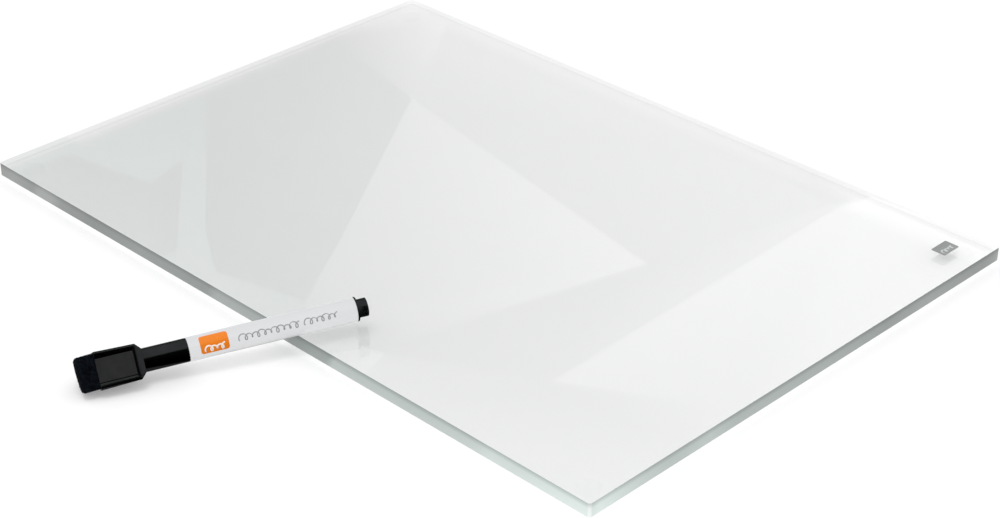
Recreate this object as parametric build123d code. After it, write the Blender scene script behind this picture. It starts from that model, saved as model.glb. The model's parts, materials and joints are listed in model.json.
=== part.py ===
from build123d import *
from math import asin, atan, cos, radians, sin, tan
import os

os.makedirs("parts", exist_ok=True)

# Acrylic desktop memo board, in millimetres: a clear sheet lies on four clear stick-on feet,
# with a small plain badge in one corner, and a dry-wipe marker leans on the sheet's left edge.
# The origin is on the desk under the middle of the sheet.
# +X points to the reader's right, +Y away from the reader and +Z up.

# Sheet
sheet_width = 210.0
sheet_length = 297.0
sheet_thickness = 5.0
sheet_corner_radius = 1.0
sheet_edge_break = 0.3

# Stick-on feet under the four corners
foot_diameter = 8.0
foot_height = 1.4
foot_sole_round = 0.2
foot_inset = 9.0
foot_glue_diameter = 7.0
foot_glue_thickness = 0.1

# Badge on the writing face, measured from the sheet's right and front edges
badge_width = 8.5
badge_depth = 5.7
badge_thickness = 0.2
badge_corner_radius = 0.35
badge_side_inset = 9.95
badge_front_inset = 10.2

# Marker: lengths along its axis, in order from the eraser's end to the tail
eraser_reach = 5.9
head_length = 13.2
shoulder_length = 1.8
neck_length = 14.5
barrel_length = 56.0
flange_thickness = 0.4
knob_length = 3.5

# Marker: how it lies, seen from above, about its own axis and along both edges that meet it
marker_heading_degrees = -25.5
marker_roll_degrees = 56.0
marker_overhang = 71.3
marker_crossing_offset = -18.75
lean_gap = 0.1
desk_gap = 0.1

# Cap: a moulded tube with a flat-faced, round-backed head at its closed end
cap_step = 0.1
cap_wall = 0.7
head_front_width = 12.5
head_rear_width = 11.6
head_face_offset = 4.3
head_corner_chamfer = 0.5
head_wall = 2.0
nib_chamber_gap = 0.7
mouth_gap = 0.1
liner_length = 4.4
liner_lip = 1.8

# Magnet glued in a slot in the head's flat face
magnet_length = 12.1
magnet_width = 7.7
magnet_thickness = 1.5
magnet_proud = 0.1
magnet_glue_thickness = 0.1
magnet_side_gap = 0.1
magnet_edge_round = 0.15

# Felt eraser glued in the head's open end
felt_side_inset = 0.55
felt_face_inset = 0.3
felt_end_chamfer = 0.8
felt_tongue_length = 4.5
felt_shelf = 0.7
felt_glue_thickness = 0.15
felt_side_gap = 0.05

# Barrel and what it holds
barrel_diameter = 8.0
barrel_wall = 0.8
barrel_edge_round = 0.15
holder_seat_length = 8.0
holder_spigot_length = 6.0
holder_nose_length = 6.5
holder_nose_step = 0.5
holder_nose_wall = 0.45
nib_diameter = 2.6
nib_reach = 3.5
nib_feed = 3.0
reservoir_side_gap = 0.2
reservoir_film_thickness = 0.1
reservoir_end_gap = 0.3
flange_proud = 0.1
knob_step = 1.0
knob_edge_round = 0.5
plug_depth = 4.0

# Fits
press_clearance = 0.02
slide_clearance = 0.05
seal_clearance = 0.1
nib_round_share = 0.85

# Passes that settle the marker's tilt
contact_rounds = 20

# Heights above the desk
underside = foot_height + foot_glue_thickness
writing_face = underside + sheet_thickness

# Radii of the marker
barrel_radius = barrel_diameter / 2
neck_radius = barrel_radius - cap_step
bore_radius = neck_radius - cap_wall
barrel_bore_radius = barrel_radius - barrel_wall
seat_radius = barrel_bore_radius - press_clearance
spigot_radius = bore_radius - slide_clearance
nose_base_radius = spigot_radius - holder_nose_step
nib_radius = nib_diameter / 2
nose_tip_radius = nib_radius + holder_nose_wall
film_radius = barrel_bore_radius - reservoir_side_gap
reservoir_radius = film_radius - reservoir_film_thickness
flange_radius = barrel_radius + flange_proud
knob_radius = flange_radius - knob_step
head_front_half = head_front_width / 2
head_rear_half = head_rear_width / 2

# Stations of the marker, measured along its axis from the eraser's end
head_start = eraser_reach
shoulder_start = head_start + head_length
neck_start = shoulder_start + shoulder_length
cap_mouth = neck_start + neck_length
barrel_start = cap_mouth + mouth_gap
barrel_end = barrel_start + barrel_length
spigot_start = barrel_start - holder_spigot_length
nose_start = spigot_start - holder_nose_length
seat_end = barrel_start + holder_seat_length
plug_start = barrel_end - plug_depth
reservoir_end = plug_start - reservoir_end_gap
chamber_end = head_start + felt_tongue_length + felt_glue_thickness + head_wall

# Slot, shelf and pocket in the cap's head, as offsets from the marker's axis towards the flat face
slot_floor = head_face_offset + magnet_proud - magnet_thickness - magnet_glue_thickness
pocket_ceiling = slot_floor - felt_shelf


def turned(*profile):
    # A solid turned about the marker's axis from (radius, station) points.
    return revolve(Plane.XZ * make_face(Polyline(*profile, close=True)), axis=Axis.Z)


def rod(radius, start, end):
    # A round solid on the marker's axis between two stations.
    return turned((0, start), (radius, start), (radius, end), (0, end))


def head_section(half, face, corner, station):
    # One slice through the head: a half-round back, straight sides and a flat face with broken corners.
    back = ThreePointArc((0, half), (-half, 0), (0, -half))
    front = Polyline(
        (0, -half),
        (face - corner, -half),
        (face, corner - half),
        (face, half - corner),
        (face - corner, half),
        (0, half),
    )
    return Pos(0, 0, station) * make_face(back.edges() + front.edges())


def marker_location():
    # The barrel leans on the sheet's top left edge and the head's front rim rests on the desk,
    # so the tilt follows from both contacts.
    heading = radians(marker_heading_degrees)
    tilt = 0.0
    for _ in range(contact_rounds):
        edge_slope = atan(tan(tilt) / cos(heading))
        edge_rise = writing_face + (barrel_radius + lean_gap) / cos(edge_slope)
        rim_rise = desk_gap + head_front_half * cos(tilt)
        tilt = asin((edge_rise - rim_rise) / (marker_overhang - head_start))
    along = Vector(cos(tilt) * cos(heading), cos(tilt) * sin(heading), sin(tilt))
    sideways = along.cross(Vector(0, 0, 1)).normalized()
    upwards = sideways.cross(along)
    roll = radians(marker_roll_degrees)
    face_normal = upwards * cos(roll) + sideways * sin(roll)
    crossing = Vector(-sheet_width / 2, marker_crossing_offset, edge_rise)
    tip = crossing - along * marker_overhang
    return Plane(origin=tip, x_dir=face_normal, z_dir=along).location


def make_sheet():
    outline = RectangleRounded(sheet_width, sheet_length, sheet_corner_radius)
    sheet = extrude(Pos(0, 0, underside) * outline, amount=sheet_thickness)
    levels = sheet.edges().group_by(Axis.Z)
    return chamfer(levels[0] + levels[-1], sheet_edge_break)


def make_badge():
    centre_x = (sheet_width - badge_width) / 2 - badge_side_inset
    centre_y = (badge_depth - sheet_length) / 2 + badge_front_inset
    outline = RectangleRounded(badge_width, badge_depth, badge_corner_radius)
    return extrude(Pos(centre_x, centre_y, writing_face) * outline, amount=badge_thickness)


def make_foot(x, y):
    foot = extrude(Pos(x, y, 0) * Circle(foot_diameter / 2), amount=foot_height)
    return fillet(foot.edges().group_by(Axis.Z)[0], foot_sole_round)


def make_foot_glue(x, y):
    disc = Pos(x, y, foot_height) * Circle(foot_glue_diameter / 2)
    return extrude(disc, amount=foot_glue_thickness)


def make_cap_shell():
    front = head_section(head_front_half, head_face_offset, head_corner_chamfer, head_start)
    rear = head_section(head_rear_half, head_face_offset, head_corner_chamfer, shoulder_start)
    throat = head_section(neck_radius, neck_radius, head_corner_chamfer, neck_start)
    head = loft([front, rear], ruled=True)
    shoulder = loft([rear, throat], ruled=True)
    shell = head + shoulder + rod(neck_radius, shoulder_start, cap_mouth)
    bore = rod(bore_radius, neck_start, cap_mouth)
    chamber = rod(nib_radius + nib_chamber_gap, chamber_end, neck_start)
    slot = Pos((head_face_offset + slot_floor) / 2, 0, head_start + magnet_length / 2) * Box(
        head_face_offset - slot_floor,
        magnet_width + 2 * magnet_side_gap,
        magnet_length + 2 * magnet_side_gap,
    )
    return shell - bore - chamber - slot - felt_tongue(felt_side_gap, felt_glue_thickness)


def felt_tongue(side_gap, end_gap):
    # The part of the felt that is held in the head, grown by the given gaps to make its pocket.
    half = head_rear_half - felt_side_inset + side_gap
    start = head_section(half, pocket_ceiling, head_corner_chamfer, head_start)
    return extrude(start, amount=felt_tongue_length + end_gap, dir=(0, 0, 1))


def make_felt():
    half = head_front_half - felt_side_inset
    face = head_face_offset - felt_face_inset
    block = extrude(head_section(half, face, head_corner_chamfer, 0), amount=head_start, dir=(0, 0, 1))
    block = chamfer(block.edges().group_by(Axis.Z)[0], felt_end_chamfer)
    return block + felt_tongue(0, 0)


def make_felt_glue():
    half = head_rear_half - felt_side_inset
    start = head_section(half, pocket_ceiling, head_corner_chamfer, head_start + felt_tongue_length)
    return extrude(start, amount=felt_glue_thickness, dir=(0, 0, 1))


def make_magnet():
    middle = head_face_offset + magnet_proud - magnet_thickness / 2
    place = Pos(middle, 0, head_start + magnet_length / 2)
    magnet = place * Box(magnet_thickness, magnet_width, magnet_length)
    return fillet(magnet.edges().filter_by(Axis.X), magnet_edge_round)


def make_magnet_glue():
    middle = slot_floor + magnet_glue_thickness / 2
    width = magnet_width - 2 * magnet_side_gap
    length = magnet_length - 2 * magnet_side_gap
    return Pos(middle, 0, head_start + magnet_length / 2) * Box(magnet_glue_thickness, width, length)


def nose_radius(station):
    share = (station - nose_start) / holder_nose_length
    return nose_tip_radius + (nose_base_radius - nose_tip_radius) * share


def make_cap_liner():
    outer = bore_radius - press_clearance
    liner_end = neck_start + liner_length
    lip_end = neck_start + liner_lip
    return turned(
        (nose_tip_radius + seal_clearance, neck_start),
        (nose_tip_radius + seal_clearance, lip_end),
        (nose_radius(liner_end) + seal_clearance, liner_end),
        (outer, liner_end),
        (outer, neck_start),
    )


def make_barrel():
    barrel = turned(
        (barrel_bore_radius, barrel_start),
        (barrel_radius, barrel_start),
        (barrel_radius, barrel_end),
        (barrel_bore_radius, barrel_end),
    )
    rims = barrel.edges().filter_by(GeomType.CIRCLE).group_by(SortBy.RADIUS)[-1]
    return fillet(rims, barrel_edge_round)


def make_nib_holder():
    return turned(
        (nib_radius, nose_start),
        (nose_tip_radius, nose_start),
        (nose_base_radius, spigot_start),
        (spigot_radius, spigot_start),
        (spigot_radius, barrel_start),
        (seat_radius, barrel_start),
        (seat_radius, seat_end),
        (nib_radius, seat_end),
    )


def make_nib():
    tip = nose_start - nib_reach
    tail = seat_end + nib_feed
    nib = rod(nib_radius, tip, tail)
    return fillet(nib.edges().group_by(Axis.Z)[0], nib_radius * nib_round_share)


def make_reservoir():
    socket_end = seat_end + nib_feed
    return turned(
        (nib_radius, seat_end),
        (reservoir_radius, seat_end),
        (reservoir_radius, reservoir_end),
        (0, reservoir_end),
        (0, socket_end),
        (nib_radius, socket_end),
    )


def make_reservoir_film():
    return turned(
        (reservoir_radius, seat_end),
        (film_radius, seat_end),
        (film_radius, reservoir_end),
        (reservoir_radius, reservoir_end),
    )


def make_end_plug():
    flange_end = barrel_end + flange_thickness
    knob_end = flange_end + knob_length
    plug = turned(
        (0, plug_start),
        (seat_radius, plug_start),
        (seat_radius, barrel_end),
        (flange_radius, barrel_end),
        (flange_radius, flange_end),
        (knob_radius, flange_end),
        (knob_radius, knob_end),
        (0, knob_end),
    )
    return fillet(plug.edges().group_by(Axis.Z)[-1], knob_edge_round)


board_pieces = {
    "acrylic_sheet": make_sheet(),
    "corner_badge": make_badge(),
}
for end_name, end_sign in (("front", -1), ("rear", 1)):
    for side_name, side_sign in (("left", -1), ("right", 1)):
        foot_x = side_sign * (sheet_width / 2 - foot_inset)
        foot_y = end_sign * (sheet_length / 2 - foot_inset)
        board_pieces[f"foot_{end_name}_{side_name}"] = make_foot(foot_x, foot_y)
        board_pieces[f"foot_glue_{end_name}_{side_name}"] = make_foot_glue(foot_x, foot_y)

marker_pieces = {
    "cap_shell": make_cap_shell(),
    "cap_liner": make_cap_liner(),
    "cap_magnet": make_magnet(),
    "magnet_glue": make_magnet_glue(),
    "eraser_felt": make_felt(),
    "eraser_glue": make_felt_glue(),
    "barrel": make_barrel(),
    "nib_holder": make_nib_holder(),
    "nib": make_nib(),
    "ink_reservoir": make_reservoir(),
    "reservoir_film": make_reservoir_film(),
    "end_plug": make_end_plug(),
}

for name, piece in board_pieces.items():
    export_step(piece, f"parts/{name}.step")

marker_place = marker_location()
for name, piece in marker_pieces.items():
    export_step(marker_place * piece, f"parts/{name}.step")
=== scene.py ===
import json
import math
from functools import partial

import bmesh
import bpy
from mathutils import Matrix, Vector


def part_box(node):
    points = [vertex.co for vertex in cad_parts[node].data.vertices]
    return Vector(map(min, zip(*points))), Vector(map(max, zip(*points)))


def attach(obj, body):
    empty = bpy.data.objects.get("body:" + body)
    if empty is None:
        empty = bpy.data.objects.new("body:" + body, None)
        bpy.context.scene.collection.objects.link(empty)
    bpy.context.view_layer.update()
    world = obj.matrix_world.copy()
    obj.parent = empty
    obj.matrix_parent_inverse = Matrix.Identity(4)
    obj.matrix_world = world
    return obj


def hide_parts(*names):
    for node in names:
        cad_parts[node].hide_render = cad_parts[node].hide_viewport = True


# A clear acrylic memo board on a pale desk, with a capped dry-wipe marker leaning on its left edge.
# Lengths are in metres. The marker's own pieces are modelled along its axis and then put in place.

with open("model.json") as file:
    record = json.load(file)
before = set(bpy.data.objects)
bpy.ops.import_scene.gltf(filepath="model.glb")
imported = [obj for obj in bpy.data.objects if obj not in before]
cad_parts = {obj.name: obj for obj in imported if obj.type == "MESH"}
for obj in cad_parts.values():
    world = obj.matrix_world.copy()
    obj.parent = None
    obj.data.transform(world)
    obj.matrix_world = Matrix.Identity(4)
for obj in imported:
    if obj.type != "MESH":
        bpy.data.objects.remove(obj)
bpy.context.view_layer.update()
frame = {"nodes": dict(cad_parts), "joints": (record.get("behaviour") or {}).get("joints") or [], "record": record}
mm = 0.001
weld = 0.001 * mm
print("frame loaded:", len(frame["nodes"]), "nodes")


def linked(name, data):
    # Puts data in the scene as an object of its own.
    thing = bpy.data.objects.new(name, data)
    bpy.context.scene.collection.objects.link(thing)
    return thing


# Camera

photoCamera = {
    "place": (-0.49645, -0.49612, 0.39714),
    "heading": 44.5,
    "drop": 30.518,
    "roll": 0.303,
    "lens": 80.63,
    "farClip": 50,
}


def lookingAxes(heading, drop, roll):
    # The camera's right, up and forward directions from three angles in degrees.
    h, d, r = (math.radians(angle) for angle in (heading, drop, roll))
    forward = Vector((math.cos(d) * math.cos(h), math.cos(d) * math.sin(h), -math.sin(d)))
    level = Vector((math.sin(h), -math.cos(h), 0))
    upright = level.cross(forward)
    right = level * math.cos(r) + upright * math.sin(r)
    up = upright * math.cos(r) - level * math.sin(r)
    return right, up, forward


def makeCamera():
    right, up, forward = lookingAxes(photoCamera["heading"], photoCamera["drop"], photoCamera["roll"])
    data = bpy.data.cameras.new("photoCamera")
    data.lens = photoCamera["lens"]
    data.clip_end = photoCamera["farClip"]
    camera = linked("photoCamera", data)
    camera.matrix_world = Matrix((right, up, -forward)).transposed().to_4x4()
    camera.location = photoCamera["place"]
    bpy.context.scene.camera = camera


makeCamera()
bpy.context.scene.view_settings.view_transform = "Standard"


# Small tools for meshes and node trees

def linear(tone):
    # A display tone from 0 to 255 as linear light.
    share = tone / 255
    return share / 12.92 if share <= 0.04045 else ((share + 0.055) / 1.055) ** 2.4


def shade(red, green, blue):
    return (linear(red), linear(green), linear(blue), 1.0)


def placed(name, mesh, body, materials=(), matrix=None):
    # Puts a mesh or bmesh in the scene with its place in its vertices and lets it ride on a body.
    if isinstance(mesh, bmesh.types.BMesh):
        mesh = finished(name, mesh)
    if matrix is not None:
        mesh.transform(matrix)
    for material in materials:
        mesh.materials.append(material)
    piece = linked(name, mesh)
    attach(piece, body)
    return piece


def finished(name, bm, creaseDegrees=50):
    # A smooth-shaded mesh whose corner normals follow the larger faces, creased past the given angle.
    bmesh.ops.recalc_face_normals(bm, faces=bm.faces)
    areas = {}
    for face in bm.faces:
        face.smooth = True
        areas[face] = face.calc_area()
    limit = math.cos(math.radians(creaseDegrees))
    normals = []
    for face in bm.faces:
        for loop in face.loops:
            total = Vector()
            for other in loop.vert.link_faces:
                if face.normal.dot(other.normal) > limit:
                    total += other.normal * areas[other]
            normals.append(total.normalized())
    mesh = bpy.data.meshes.new(name)
    bm.to_mesh(mesh)
    bm.free()
    mesh.normals_split_custom_set(normals)
    return mesh


def softenEdges(bm, width, steps=2, fromDegrees=32):
    limit = math.radians(fromDegrees)
    sharp = [e for e in bm.edges if len(e.link_faces) == 2 and e.calc_face_angle(0) > limit]
    return bmesh.ops.bevel(
        bm, geom=sharp, offset=width, segments=steps, profile=0.5, affect="EDGES", clamp_overlap=True
    )["faces"]


def welded(bm):
    # Joins points that coincide and turns the faces outwards.
    bmesh.ops.remove_doubles(bm, verts=bm.verts, dist=weld)
    bmesh.ops.dissolve_degenerate(bm, edges=bm.edges, dist=weld)
    bmesh.ops.recalc_face_normals(bm, faces=bm.faces)
    return bm


def turned(profile, steps, softness=0.0, segments=4):
    # A bmesh turned about Z from (radius, height) points, with its outer corners rounded.
    bm = bmesh.new()
    verts = [bm.verts.new((radius, 0, height)) for radius, height in profile]
    for pair in zip(verts, verts[1:]):
        bm.edges.new(pair)
    if softness:
        inner = [v for v in verts[1:-1] if v.co.x > 0]
        bmesh.ops.bevel(bm, geom=inner, offset=softness, segments=segments, profile=0.5, affect="VERTICES")
    outline = bm.verts[:] + bm.edges[:]
    bmesh.ops.spin(bm, geom=outline, cent=(0, 0, 0), axis=(0, 0, 1), angle=math.tau, steps=steps)
    return welded(bm)


def throughRings(rings):
    # A closed bmesh through rings of points, with a face over each end.
    bm = bmesh.new()
    loops = [[bm.verts.new(point) for point in ring] for ring in rings]
    for first, second in zip(loops, loops[1:]):
        for i in range(len(first)):
            j = (i + 1) % len(first)
            bm.faces.new((first[i], first[j], second[j], second[i]))
    bm.faces.new(loops[0])
    bm.faces.new(loops[-1])
    bmesh.ops.recalc_face_normals(bm, faces=bm.faces)
    return bm


def fill(tree, socket, value):
    # Joins a socket to another one or to a node's first output, or sets its plain value.
    if isinstance(value, bpy.types.Node):
        value = value.outputs[0]
    if isinstance(value, bpy.types.NodeSocket):
        tree.links.new(value, socket)
    else:
        socket.default_value = value


def add(tree, kind, links=None, **settings):
    # Adds a node, gives it settings and joins or fills its inputs by name or number.
    node = tree.nodes.new(kind)
    for key, value in settings.items():
        setattr(node, key, value)
    for key, value in (links or {}).items():
        fill(tree, node.inputs[key], value)
    return node


def geometry(tree, kind, links=None, **settings):
    return add(tree, "GeometryNode" + kind, links, **settings)


def together(tree, *parts):
    joint = geometry(tree, "JoinGeometry")
    for part in parts:
        fill(tree, joint.inputs[0], part)
    return joint


def startTree(name, inputs):
    # A geometry tree with inputs named by kind and one geometry output. Returns the tree and its inputs.
    tree = bpy.data.node_groups.new(name, "GeometryNodeTree")
    for kind, labels in inputs.items():
        for label in labels:
            tree.interface.new_socket(label, in_out="INPUT", socket_type="NodeSocket" + kind)
    tree.interface.new_socket("Geometry", in_out="OUTPUT", socket_type="NodeSocketGeometry")
    return tree, tree.nodes.new("NodeGroupInput").outputs


def endTree(tree, shape, finishes):
    # Ends a tree in Realize Instances and a Set Material for each (selection, material).
    last = geometry(tree, "RealizeInstances", {"Geometry": shape})
    for selection, material in finishes:
        links = {"Geometry": last, "Selection": selection, "Material": material}
        last = geometry(tree, "SetMaterial", links)
    fill(tree, tree.nodes.new("NodeGroupOutput").inputs[0], last)


def grownMesh(name, tree, values, base=None):
    # Runs a geometry tree on a fresh object and returns the plain mesh that it makes.
    holder = linked(name, base or bpy.data.meshes.new(name))
    modifier = holder.modifiers.new(name, "NODES")
    modifier.node_group = tree
    for item in tree.interface.items_tree:
        if item.item_type == "SOCKET" and item.in_out == "INPUT" and item.name in values:
            modifier[item.identifier] = values[item.name]
    evaluated = holder.evaluated_get(bpy.context.evaluated_depsgraph_get())
    mesh = bpy.data.meshes.new_from_object(evaluated)
    mesh.name = name
    bpy.data.objects.remove(holder)
    return mesh


# The marker's own frame, read from the joint that pulls it out of its cap and from the magnet's face

magnetSeat = {"station": 11.95 * mm, "offset": 4.4 * mm}


def markerMatrix():
    along = Vector(next(j for j in frame["joints"] if j["name"] == "cap_pull")["axis"]).normalized()
    mount = next(m for m in frame["record"]["mounts"] if m["name"] == "magnet_face")
    outward = Vector(mount["axis"])
    outward = (outward - along * outward.dot(along)).normalized()
    sideways = along.cross(outward)
    start = Vector(mount["pos_m"]) - outward * magnetSeat["offset"] - along * magnetSeat["station"]
    turn = Matrix((outward, sideways, along)).transposed().to_4x4()
    return Matrix.Translation(start) @ turn


markerPlace = markerMatrix()


# Materials

def newMaterial(name):
    material = bpy.data.materials.new(name)
    material.use_nodes = True
    return material, material.node_tree, material.node_tree.nodes["Principled BSDF"]


def objectPlace(tree, matrix=None):
    # Object coordinates, in the marker's own frame where its matrix is given.
    place = add(tree, "ShaderNodeTexCoord").outputs["Object"]
    if matrix is None:
        return place
    inward = matrix.inverted()
    links = {"Vector": place, "Location": inward.translation, "Rotation": inward.to_euler()}
    return add(tree, "ShaderNodeMapping", links).outputs["Vector"]


def noise(tree, place, size, detail=3.0, roughness=0.55):
    # Noise whose features are about the given size in metres.
    links = {"Vector": place, "Scale": 1 / size, "Detail": detail, "Roughness": roughness}
    return add(tree, "ShaderNodeTexNoise", links).outputs["Fac"]


def spread(tree, value, low=0, high=1, fromLow=0.3, fromHigh=0.7):
    links = {"Value": value, "From Min": fromLow, "From Max": fromHigh, "To Min": low, "To Max": high}
    return add(tree, "ShaderNodeMapRange", links).outputs["Result"]


def calculate(tree, operation, first, second=0.0, third=0.0):
    return add(tree, "ShaderNodeMath", {0: first, 1: second, 2: third}, operation=operation).outputs[0]


def blended(tree, share, first, second, blend="MIX"):
    # A Mix node's colours are its inputs 6 and 7 and its output 2.
    links = {"Factor": share, 6: first, 7: second}
    return add(tree, "ShaderNodeMix", links, data_type="RGBA", blend_type=blend).outputs[2]


def colourRamp(tree, value, stops):
    node = add(tree, "ShaderNodeValToRGB", {"Fac": value})
    while len(node.color_ramp.elements) < len(stops):
        node.color_ramp.elements.new(1)
    for element, (position, colour) in zip(node.color_ramp.elements, stops):
        element.position = position
        element.color = colour
    return node.outputs["Color"]


def relief(tree, height, strength, distance):
    links = {"Height": height, "Strength": strength, "Distance": distance}
    return add(tree, "ShaderNodeBump", links).outputs["Normal"]


def setSurface(surface, **values):
    # Joins or fills inputs of a surface node, whose names have underscores here in place of spaces.
    for label, value in values.items():
        fill(surface.id_data, surface.inputs[label.replace("_", " ")], value)


def showThrough(tree, surface, share, tint=(1, 1, 1, 1)):
    # Opens a surface to what lies behind it, by a share.
    open_ = add(tree, "ShaderNodeBsdfTransparent", {"Color": tint})
    mix = add(tree, "ShaderNodeMixShader", {0: share, 1: surface, 2: open_})
    fill(tree, tree.nodes["Material Output"].inputs["Surface"], mix)


def moulded(name, dark, light, roughness, grain, bump, driftGrains=14, bumpStrength=0.5, **fixed):
    # The marker's plastic and rubber: a slow drift of tone, a fine grain in the gloss and a faint surface bump.
    material, tree, surface = newMaterial(name)
    place = objectPlace(tree, markerPlace)
    drift = noise(tree, place, grain * driftGrains)
    fine = noise(tree, place, grain, detail=4)
    setSurface(
        surface,
        Base_Color=blended(tree, spread(tree, drift), dark, light),
        Roughness=spread(tree, fine, *roughness),
        Normal=relief(tree, fine, bumpStrength, bump),
        **fixed,
    )
    return material


def paintLightAndShadeBelow(material, look):
    # Paints light and shade on a round piece of the marker, from its upper side to its underside.
    tree = material.node_tree
    surface = tree.nodes["Principled BSDF"]
    down = markerPlace.to_3x3().inverted() @ Vector((0, 0, -1))
    place = objectPlace(tree, markerPlace)
    depth = add(tree, "ShaderNodeVectorMath", {0: place, 1: (down.x, down.y, 0)}, operation="DOT_PRODUCT")
    share = spread(tree, depth.outputs["Value"], 0, 1, look["startsAt"], look["fullBelow"])
    base = surface.inputs["Base Color"].links[0].from_socket
    tint = blended(tree, share, look["top"], look["under"])
    setSurface(surface, Base_Color=blended(tree, 1.0, base, tint, "MULTIPLY"))


def clearMaterial(name, tint, ior, haze, shadowTint, smear):
    # Clear plastic that bends what is seen through it and lets the light of lamps and sky straight through.
    material, tree, surface = newMaterial(name)
    polish = noise(tree, objectPlace(tree), smear, detail=2)
    roughness = spread(tree, polish, *haze)
    setSurface(surface, Base_Color=tint, IOR=ior, Roughness=roughness, Transmission_Weight=1.0)
    rays = add(tree, "ShaderNodeLightPath").outputs
    isLight = calculate(tree, "MAXIMUM", rays["Is Shadow Ray"], rays["Is Diffuse Ray"])
    showThrough(tree, surface, isLight, shadowTint)
    return material


def filmMaterial(name, tone, body, gloss, smear):
    # A thin clear film pressed against another piece: mostly open, with a little of its own tone and gloss.
    material, tree, surface = newMaterial(name)
    streaks = noise(tree, objectPlace(tree), smear, detail=2)
    setSurface(surface, Base_Color=tone, Roughness=spread(tree, streaks, *gloss))
    showThrough(tree, surface, spread(tree, streaks, 1 - body[0], 1 - body[1]))
    return material


# Floor, sky and lamp

studio = {
    "floorSize": 12.0,
    "floorGap": 0.02 * mm,
    "floorTone": (0.75, 0.75, 0.75, 1),
    "floorGrain": 40 * mm,
    "floorRoughness": (0.85, 0.95),
    "floorLift": 0.24,
    "skyLight": 0.92,
    "lampPlace": (-0.35, -0.1, 1.35),
    "lampSize": 0.5,
    "lampPower": 4.0,
}


def seenAsBackground(tree):
    # 1 for the rays that look at the backdrop itself, in gloss or through clear plastic, and 0 for its light.
    rays = add(tree, "ShaderNodeLightPath").outputs
    seen = calculate(tree, "MAXIMUM", rays["Is Camera Ray"], rays["Is Transmission Ray"])
    return calculate(tree, "MAXIMUM", seen, rays["Is Glossy Ray"])


def makeStudio():
    half, z = studio["floorSize"] / 2, -studio["floorGap"]
    mesh = bpy.data.meshes.new("deskFloor")
    mesh.from_pydata([(-half, -half, z), (half, -half, z), (half, half, z), (-half, half, z)], [], [(0, 1, 2, 3)])
    floor = linked("deskFloor", mesh)
    material, tree, surface = newMaterial("deskFloor")
    grain = noise(tree, objectPlace(tree), studio["floorGrain"])
    setSurface(
        surface,
        Base_Color=studio["floorTone"],
        Roughness=spread(tree, grain, *studio["floorRoughness"]),
        Specular_IOR_Level=0.0,
        Emission_Color=(1, 1, 1, 1),
        Emission_Strength=spread(tree, seenAsBackground(tree), 0, studio["floorLift"], 0, 1),
    )
    material.cycles.emission_sampling = "NONE"
    mesh.materials.append(material)

    world = bpy.data.worlds.new("paleSky")
    bpy.context.scene.world = world
    world.use_nodes = True
    tree = world.node_tree
    strength = spread(tree, seenAsBackground(tree), studio["skyLight"], 1.0, 0, 1)
    setSurface(tree.nodes["Background"], Color=(1, 1, 1, 1), Strength=strength)

    data = bpy.data.lights.new("softbox", "AREA")
    data.size = studio["lampSize"]
    data.energy = studio["lampPower"]
    lamp = linked("softbox", data)
    lamp.location = studio["lampPlace"]
    lamp.rotation_euler = (-Vector(studio["lampPlace"])).to_track_quat("-Z", "Y").to_euler()
    lamp.visible_glossy = False


makeStudio()
print("studio ready")


# Cards beyond the sheet that show in its polish as pale panes

cardWall = {"distance": 1.6, "layerGap": 0.004, "greenShift": 0.06, "blueShare": 0.4}

# Each pane is outlined by where its reflection shows on the writing face, in millimetres, with its glow at each
# corner. A green share tints the darker panes. Later panes stand in front of earlier ones.
reflectedPanes = {
    "backdrop": (0.0, [(-130, 190, 0.9), (-130, -190, 1.0), (130, -190, 1.9), (130, 190, 1.6)]),
    "leftBand": (1.0, [
        (-130, 165, 0.25), (-14, 142, 0.2), (38, 77, 0.25), (-89, -5, 0.3), (-102, -18, 0.35), (-130, -20, 0.35),
    ]),
    "farPane": (1.0, [
        (-113, 139, 0.1), (-82, 136, 0.0), (-75, 97, 0.0), (-55, 103, 0.0), (-99, 51, 0.0), (-113, 55, 0.1),
    ]),
    "farRim": (0.0, [(-75, 151, 0.75), (56, 151, 0.6), (56, 140, 0.3), (-14, 140, 0.3), (-75, 139, 0.35)]),
    "topPane": (0.0, [(54, 140, 0.35), (40, 80, 0.7), (106, 125, 1.2), (108, 152, 1.3), (54, 152, 0.5)]),
    "lowPane": (0.0, [(-102, -18, 0.4), (10, -60, 0.8), (99, -91, 1.4), (-66, -96, 0.85), (-92, -47, 0.6)]),
    "midPane": (0.0, [(40, 80, 0.88), (10, -69, 1.35), (-89, -44, 0.62), (-102, -18, 0.5), (-89, -5, 0.42)]),
    "rearPane": (0.0, [(106, 125, 1.0), (103, -95, 1.25), (99, -91, 1.25), (10, -69, 0.92), (40, 80, 0.72)]),
    "rearRim": (0.0, [(90, 114, 0.85), (90, -89, 1.05), (103, -95, 1.75), (107, -60, 1.5), (107, 126, 1.3)]),
    "darkPane": (0.4, [
        (-14, 140, 0.15), (-83, 55, 0.0), (-98, 31, 0.03), (-89, -5, 0.1), (-51, 19, 0.12), (40, 80, 0.5),
        (54, 140, 0.35),
    ]),
    "frontPane": (0.0, [
        (-92, -47, 0.78), (-66, -96, 0.85), (-37, -148, 1.3), (-60, -190, 1.4), (-130, -160, 1.25),
        (-130, -60, 0.9),
    ]),
    "rightPane": (0.0, [(-66, -96, 1.25), (99, -91, 1.7), (130, -190, 1.8), (-60, -190, 1.5), (-37, -148, 1.3)]),
    "rightRim": (0.0, [(88, -92, 1.8), (103, -95, 2.4), (108, -160, 2.4), (90, -160, 1.9)]),
}

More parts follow.
